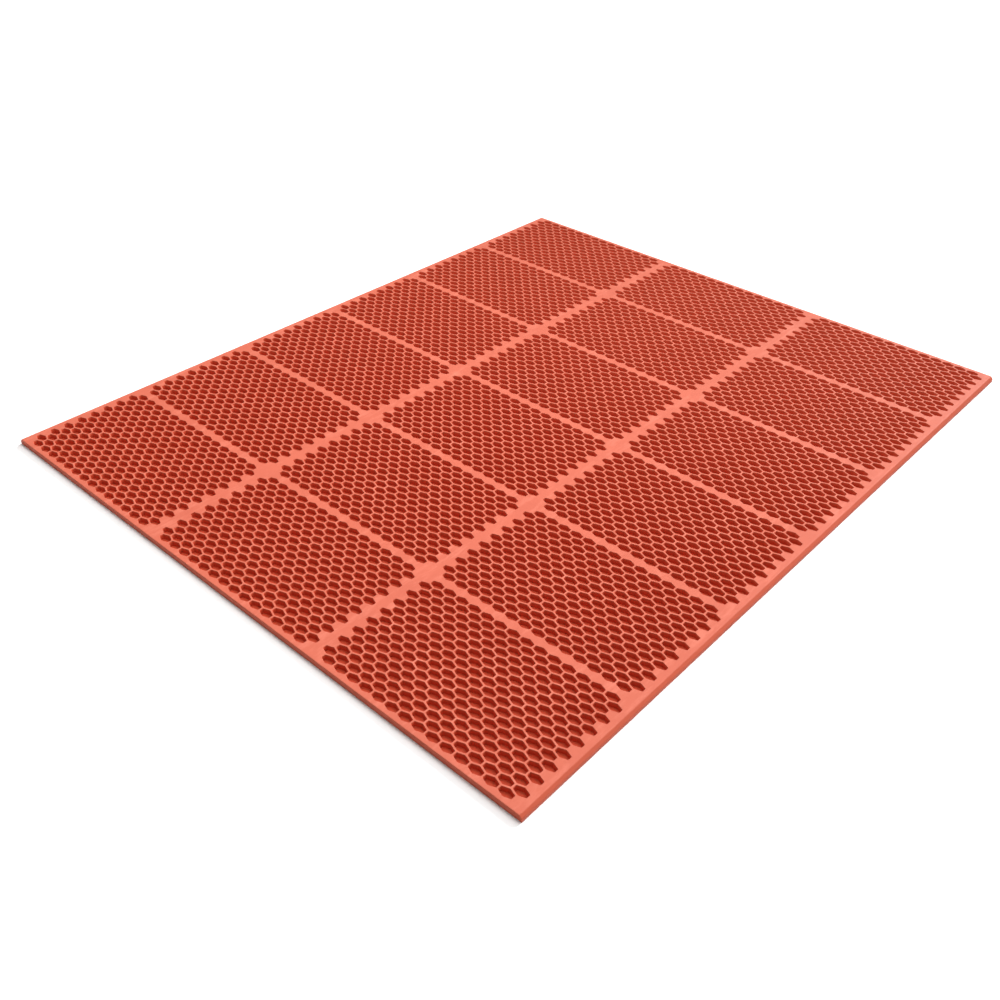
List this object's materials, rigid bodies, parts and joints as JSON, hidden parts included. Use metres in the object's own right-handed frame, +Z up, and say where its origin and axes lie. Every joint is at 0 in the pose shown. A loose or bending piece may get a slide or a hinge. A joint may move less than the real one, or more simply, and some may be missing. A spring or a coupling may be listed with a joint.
{
  "type": "anti fatigue mat",
  "caption": "Flat rubber standing mat of honeycomb panels framed by plain webs and chamfered side borders, which bends upwards along its cross webs to be rolled.",
  "frame": {"origin": "centre of the mat's plan outline, on the floor that it lies on", "axes": "+X across the mat, +Y along its length, +Z up from the floor to the standing side"},
  "size_m": [0.9906, 1.1938, 0.0095],
  "materials": {
    "honeycomb_rubber": "matt moulded nitrile rubber, coral red",
    "border_rubber": "matt moulded nitrile rubber with a fine skin, coral red"
  },
  "bodies": {
    "band_1": {"end_border_front": "border_rubber", "side_border_b1_left": "border_rubber", "panel_b1_left": "honeycomb_rubber", "panel_b1_middle": "honeycomb_rubber", "panel_b1_right": "honeycomb_rubber", "long_web_b1_left": "border_rubber", "long_web_b1_right": "border_rubber", "side_border_b1_right": "border_rubber", "cross_web_1_2_front_half": "border_rubber"},
    "band_2": {"cross_web_1_2_rear_half": "border_rubber", "side_border_b2_left": "border_rubber", "panel_b2_left": "honeycomb_rubber", "panel_b2_middle": "honeycomb_rubber", "panel_b2_right": "honeycomb_rubber", "long_web_b2_left": "border_rubber", "long_web_b2_right": "border_rubber", "side_border_b2_right": "border_rubber", "cross_web_2_3_front_half": "border_rubber"},
    "band_3": {"cross_web_2_3_rear_half": "border_rubber", "side_border_b3_left": "border_rubber", "panel_b3_left": "honeycomb_rubber", "panel_b3_middle": "honeycomb_rubber", "panel_b3_right": "honeycomb_rubber", "long_web_b3_left": "border_rubber", "long_web_b3_right": "border_rubber", "side_border_b3_right": "border_rubber", "cross_web_3_4_front_half": "border_rubber"},
    "band_4": {"cross_web_3_4_rear_half": "border_rubber", "side_border_b4_left": "border_rubber", "panel_b4_left": "honeycomb_rubber", "panel_b4_middle": "honeycomb_rubber", "panel_b4_right": "honeycomb_rubber", "long_web_b4_left": "border_rubber", "long_web_b4_right": "border_rubber", "side_border_b4_right": "border_rubber", "cross_web_4_5_front_half": "border_rubber"},
    "band_5": {"cross_web_4_5_rear_half": "border_rubber", "side_border_b5_left": "border_rubber", "panel_b5_left": "honeycomb_rubber", "panel_b5_middle": "honeycomb_rubber", "panel_b5_right": "honeycomb_rubber", "long_web_b5_left": "border_rubber", "long_web_b5_right": "border_rubber", "side_border_b5_right": "border_rubber", "cross_web_5_6_front_half": "border_rubber"},
    "band_6": {"cross_web_5_6_rear_half": "border_rubber", "side_border_b6_left": "border_rubber", "panel_b6_left": "honeycomb_rubber", "panel_b6_middle": "honeycomb_rubber", "panel_b6_right": "honeycomb_rubber", "long_web_b6_left": "border_rubber", "long_web_b6_right": "border_rubber", "side_border_b6_right": "border_rubber", "end_border_rear": "border_rubber"}
  },
  "joints": [
    {"name": "bend_2_3", "type": "hinge", "parent": "band_3", "child": "band_2", "pos_m": [0, -0.1984, 0.0095], "axis": [-1, 0, 0], "range_deg": [0, 55], "stiffness_Nm_per_rad": 1.5},
    {"name": "bend_1_2", "type": "hinge", "parent": "band_2", "child": "band_1", "pos_m": [0, -0.3968, 0.0095], "axis": [-1, 0, 0], "range_deg": [0, 55], "stiffness_Nm_per_rad": 1.5},
    {"name": "bend_3_4", "type": "hinge", "parent": "band_3", "child": "band_4", "pos_m": [0, 0, 0.0095], "axis": [1, 0, 0], "range_deg": [0, 55], "stiffness_Nm_per_rad": 1.5},
    {"name": "bend_4_5", "type": "hinge", "parent": "band_4", "child": "band_5", "pos_m": [0, 0.1984, 0.0095], "axis": [1, 0, 0], "range_deg": [0, 55], "stiffness_Nm_per_rad": 1.5},
    {"name": "bend_5_6", "type": "hinge", "parent": "band_5", "child": "band_6", "pos_m": [0, 0.3968, 0.0095], "axis": [1, 0, 0], "range_deg": [0, 55], "stiffness_Nm_per_rad": 1.5}
  ]
}
